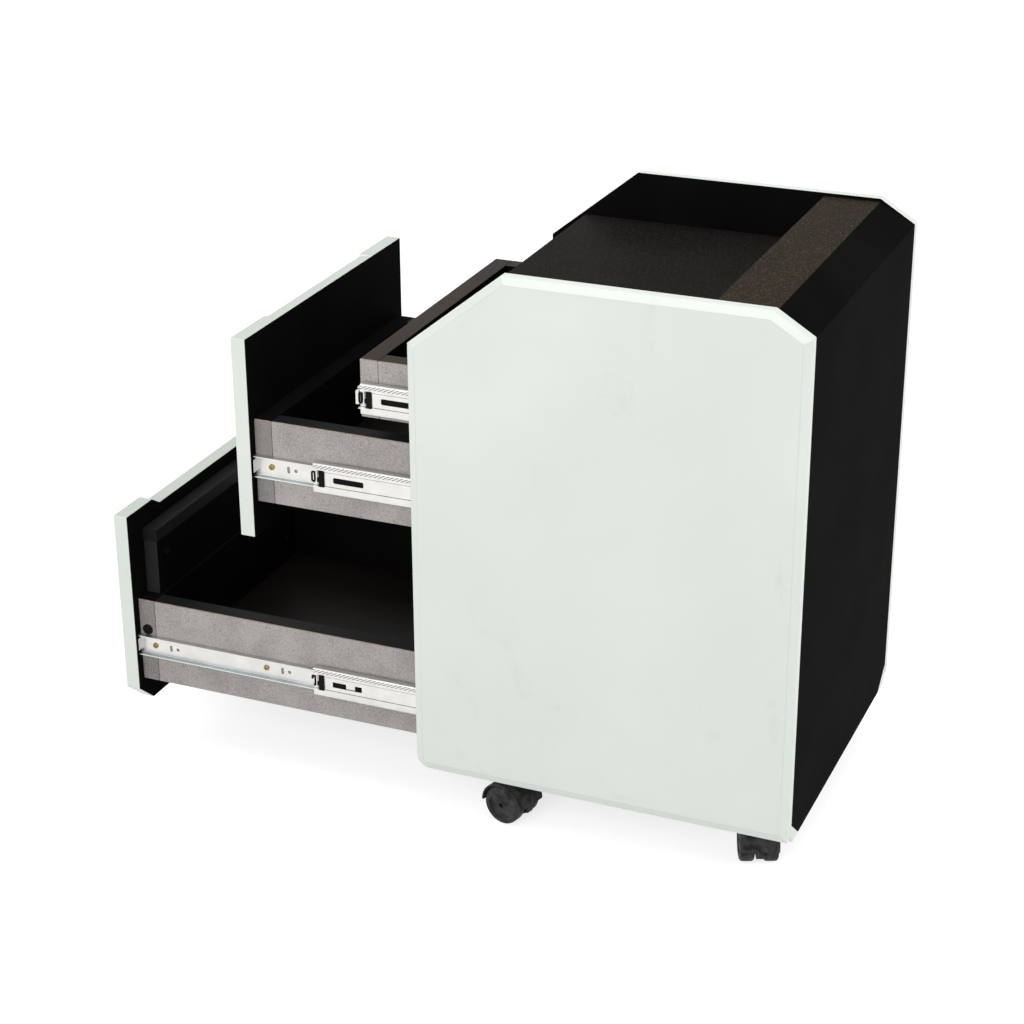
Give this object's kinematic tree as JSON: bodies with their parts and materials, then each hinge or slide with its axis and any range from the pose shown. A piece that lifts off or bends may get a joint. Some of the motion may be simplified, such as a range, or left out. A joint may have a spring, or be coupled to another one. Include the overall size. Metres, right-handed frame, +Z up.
{
  "type": "mobile drawer pedestal",
  "caption": "Mobile drawer pedestal on castors: file, box and pencil drawers on ball-bearing slides, between bevelled pale side panels, with a sunk tray on top.",
  "frame": {"origin": "on the floor, below the centre of the object's outer box with its drawers open as pictured", "axes": "+Z up, the drawers' fascias face -Y and open towards -Y, +X to the right seen from behind the origin looking along +Y"},
  "size_m": [0.44, 0.846, 0.678],
  "materials": {
    "pale_laminate": "smooth pale laminate, satin",
    "black_laminate": "black laminate, satin",
    "strip_laminate": "dark brown-black laminate, satin",
    "fascia_laminate": "pale laminate on the front and edges, black on the back",
    "grey_laminate": "speckled light grey laminate",
    "drawer_bottom": "black laminate, satin",
    "zinc_steel": "bright zinc plate",
    "screw_steel": "zinc plate",
    "plate_steel": "zinc plate",
    "axle_steel": "bright drawn steel",
    "brass": "satin",
    "dowel_wood": "plain beech",
    "black_plastic": "matt black",
    "castor_plastic": "matt dark grey nylon",
    "wheel_plastic": "matt dark grey nylon"
  },
  "bodies": {
    "cabinet": {"right_side_panel": "pale_laminate", "left_side_panel": "pale_laminate", "right_bottom_rail": "pale_laminate", "left_bottom_rail": "pale_laminate", "bottom_board": "black_laminate", "back_panel": "black_laminate", "rear_slope_panel": "black_laminate", "rear_top_strip": "strip_laminate", "strip_riser": "black_laminate", "top_deck": "black_laminate", "front_top_rail": "black_laminate", "cabinet_slide_members": "zinc_steel", "wood_screws": "screw_steel", "cabinet_dowels": "dowel_wood", "castor_plates": "plate_steel"},
    "file_drawer": {"file_right_side": "grey_laminate", "file_left_side": "grey_laminate", "file_front_board": "black_laminate", "file_riser_board": "black_laminate", "file_back_board": "black_laminate", "file_bottom": "drawer_bottom", "file_fascia": "fascia_laminate", "file_drawer_members": "zinc_steel", "file_slide_screws": "brass", "file_fascia_screws": "black_plastic", "file_side_caps": "black_plastic"},
    "file_carriers": {"file_slide_carriers": "zinc_steel", "file_ball_cages": "black_plastic"},
    "box_drawer": {"box_right_side": "grey_laminate", "box_left_side": "grey_laminate", "box_front_board": "black_laminate", "box_back_board": "black_laminate", "box_bottom": "drawer_bottom", "box_fascia": "fascia_laminate", "box_drawer_members": "zinc_steel", "box_slide_screws": "brass", "box_fascia_screws": "black_plastic"},
    "box_carriers": {"box_slide_carriers": "zinc_steel", "box_ball_cages": "black_plastic"},
    "pencil_drawer": {"pencil_right_side": "grey_laminate", "pencil_left_side": "grey_laminate", "pencil_front_board": "black_laminate", "pencil_back_board": "black_laminate", "pencil_bottom": "drawer_bottom", "pencil_drawer_members": "zinc_steel", "pencil_slide_screws": "brass"},
    "pencil_carriers": {"pencil_slide_carriers": "zinc_steel", "pencil_ball_cages": "black_plastic"},
    "front_right_castor": {"front_right_castor_housing": "castor_plastic", "front_right_castor_axle": "axle_steel"},
    "front_right_wheels": {"front_right_castor_wheels": "wheel_plastic"},
    "rear_right_castor": {"rear_right_castor_housing": "castor_plastic", "rear_right_castor_axle": "axle_steel"},
    "rear_right_wheels": {"rear_right_castor_wheels": "wheel_plastic"},
    "front_left_castor": {"front_left_castor_housing": "castor_plastic", "front_left_castor_axle": "axle_steel"},
    "front_left_wheels": {"front_left_castor_wheels": "wheel_plastic"},
    "rear_left_castor": {"rear_left_castor_housing": "castor_plastic", "rear_left_castor_axle": "axle_steel"},
    "rear_left_wheels": {"rear_left_castor_wheels": "wheel_plastic"}
  },
  "joints": [
    {"name": "file_drawer_slide", "type": "slide", "parent": "cabinet", "child": "file_drawer", "axis": [0, -1, 0], "range_m": [-0.398, 0.012]},
    {"name": "box_drawer_slide", "type": "slide", "parent": "cabinet", "child": "box_drawer", "axis": [0, -1, 0], "range_m": [-0.225, 0.115]},
    {"name": "file_carriers_slide", "type": "slide", "parent": "cabinet", "child": "file_carriers", "axis": [0, -1, 0], "range_m": [-0.1615, 0.0054]},
    {"name": "box_carriers_slide", "type": "slide", "parent": "cabinet", "child": "box_carriers", "axis": [0, -1, 0], "range_m": [-0.1505, 0.0772]},
    {"name": "pencil_drawer_slide", "type": "slide", "parent": "cabinet", "child": "pencil_drawer", "axis": [0, -1, 0], "range_m": [-0.093, 0.0478]},
    {"name": "pencil_carriers_slide", "type": "slide", "parent": "cabinet", "child": "pencil_carriers", "axis": [0, -1, 0], "range_m": [-0.0875, 0.045]},
    {"name": "front_right_swivel", "type": "hinge", "parent": "cabinet", "child": "front_right_castor", "pos_m": [0.173, 0.061, 0.026], "axis": [0, 0, 1], "continuous": true},
    {"name": "front_right_roll", "type": "hinge", "parent": "front_right_castor", "child": "front_right_wheels", "pos_m": [0.17766, 0.07839, 0.024], "axis": [-0.9659, 0.2588, 0], "continuous": true},
    {"name": "rear_right_swivel", "type": "hinge", "parent": "cabinet", "child": "rear_right_castor", "pos_m": [0.173, 0.379, 0.026], "axis": [0, 0, 1], "continuous": true},
    {"name": "rear_right_roll", "type": "hinge", "parent": "rear_right_castor", "child": "rear_right_wheels", "pos_m": [0.15643, 0.37197, 0.024], "axis": [0.3907, -0.9205, 0], "continuous": true},
    {"name": "front_left_swivel", "type": "hinge", "parent": "cabinet", "child": "front_left_castor", "pos_m": [-0.173, 0.061, 0.026], "axis": [0, 0, 1], "continuous": true},
    {"name": "front_left_roll", "type": "hinge", "parent": "front_left_castor", "child": "front_left_wheels", "pos_m": [-0.15921, 0.07257, 0.024], "axis": [-0.6428, 0.766, 0], "continuous": true},
    {"name": "rear_left_swivel", "type": "hinge", "parent": "cabinet", "child": "rear_left_castor", "pos_m": [-0.173, 0.379, 0.026], "axis": [0, 0, 1], "continuous": true},
    {"name": "rear_left_roll", "type": "hinge", "parent": "rear_left_castor", "child": "rear_left_wheels", "pos_m": [-0.15741, 0.37, 0.024], "axis": [0.5, 0.866, 0], "continuous": true}
  ],
  "couplings": [
    {"joint": "file_carriers_slide", "follows": "file_drawer_slide", "ratio": 0.40452},
    {"joint": "box_carriers_slide", "follows": "box_drawer_slide", "ratio": 0.66667},
    {"joint": "pencil_drawer_slide", "follows": "box_drawer_slide", "ratio": 0.41111},
    {"joint": "pencil_carriers_slide", "follows": "box_drawer_slide", "ratio": 0.38667}
  ]
}
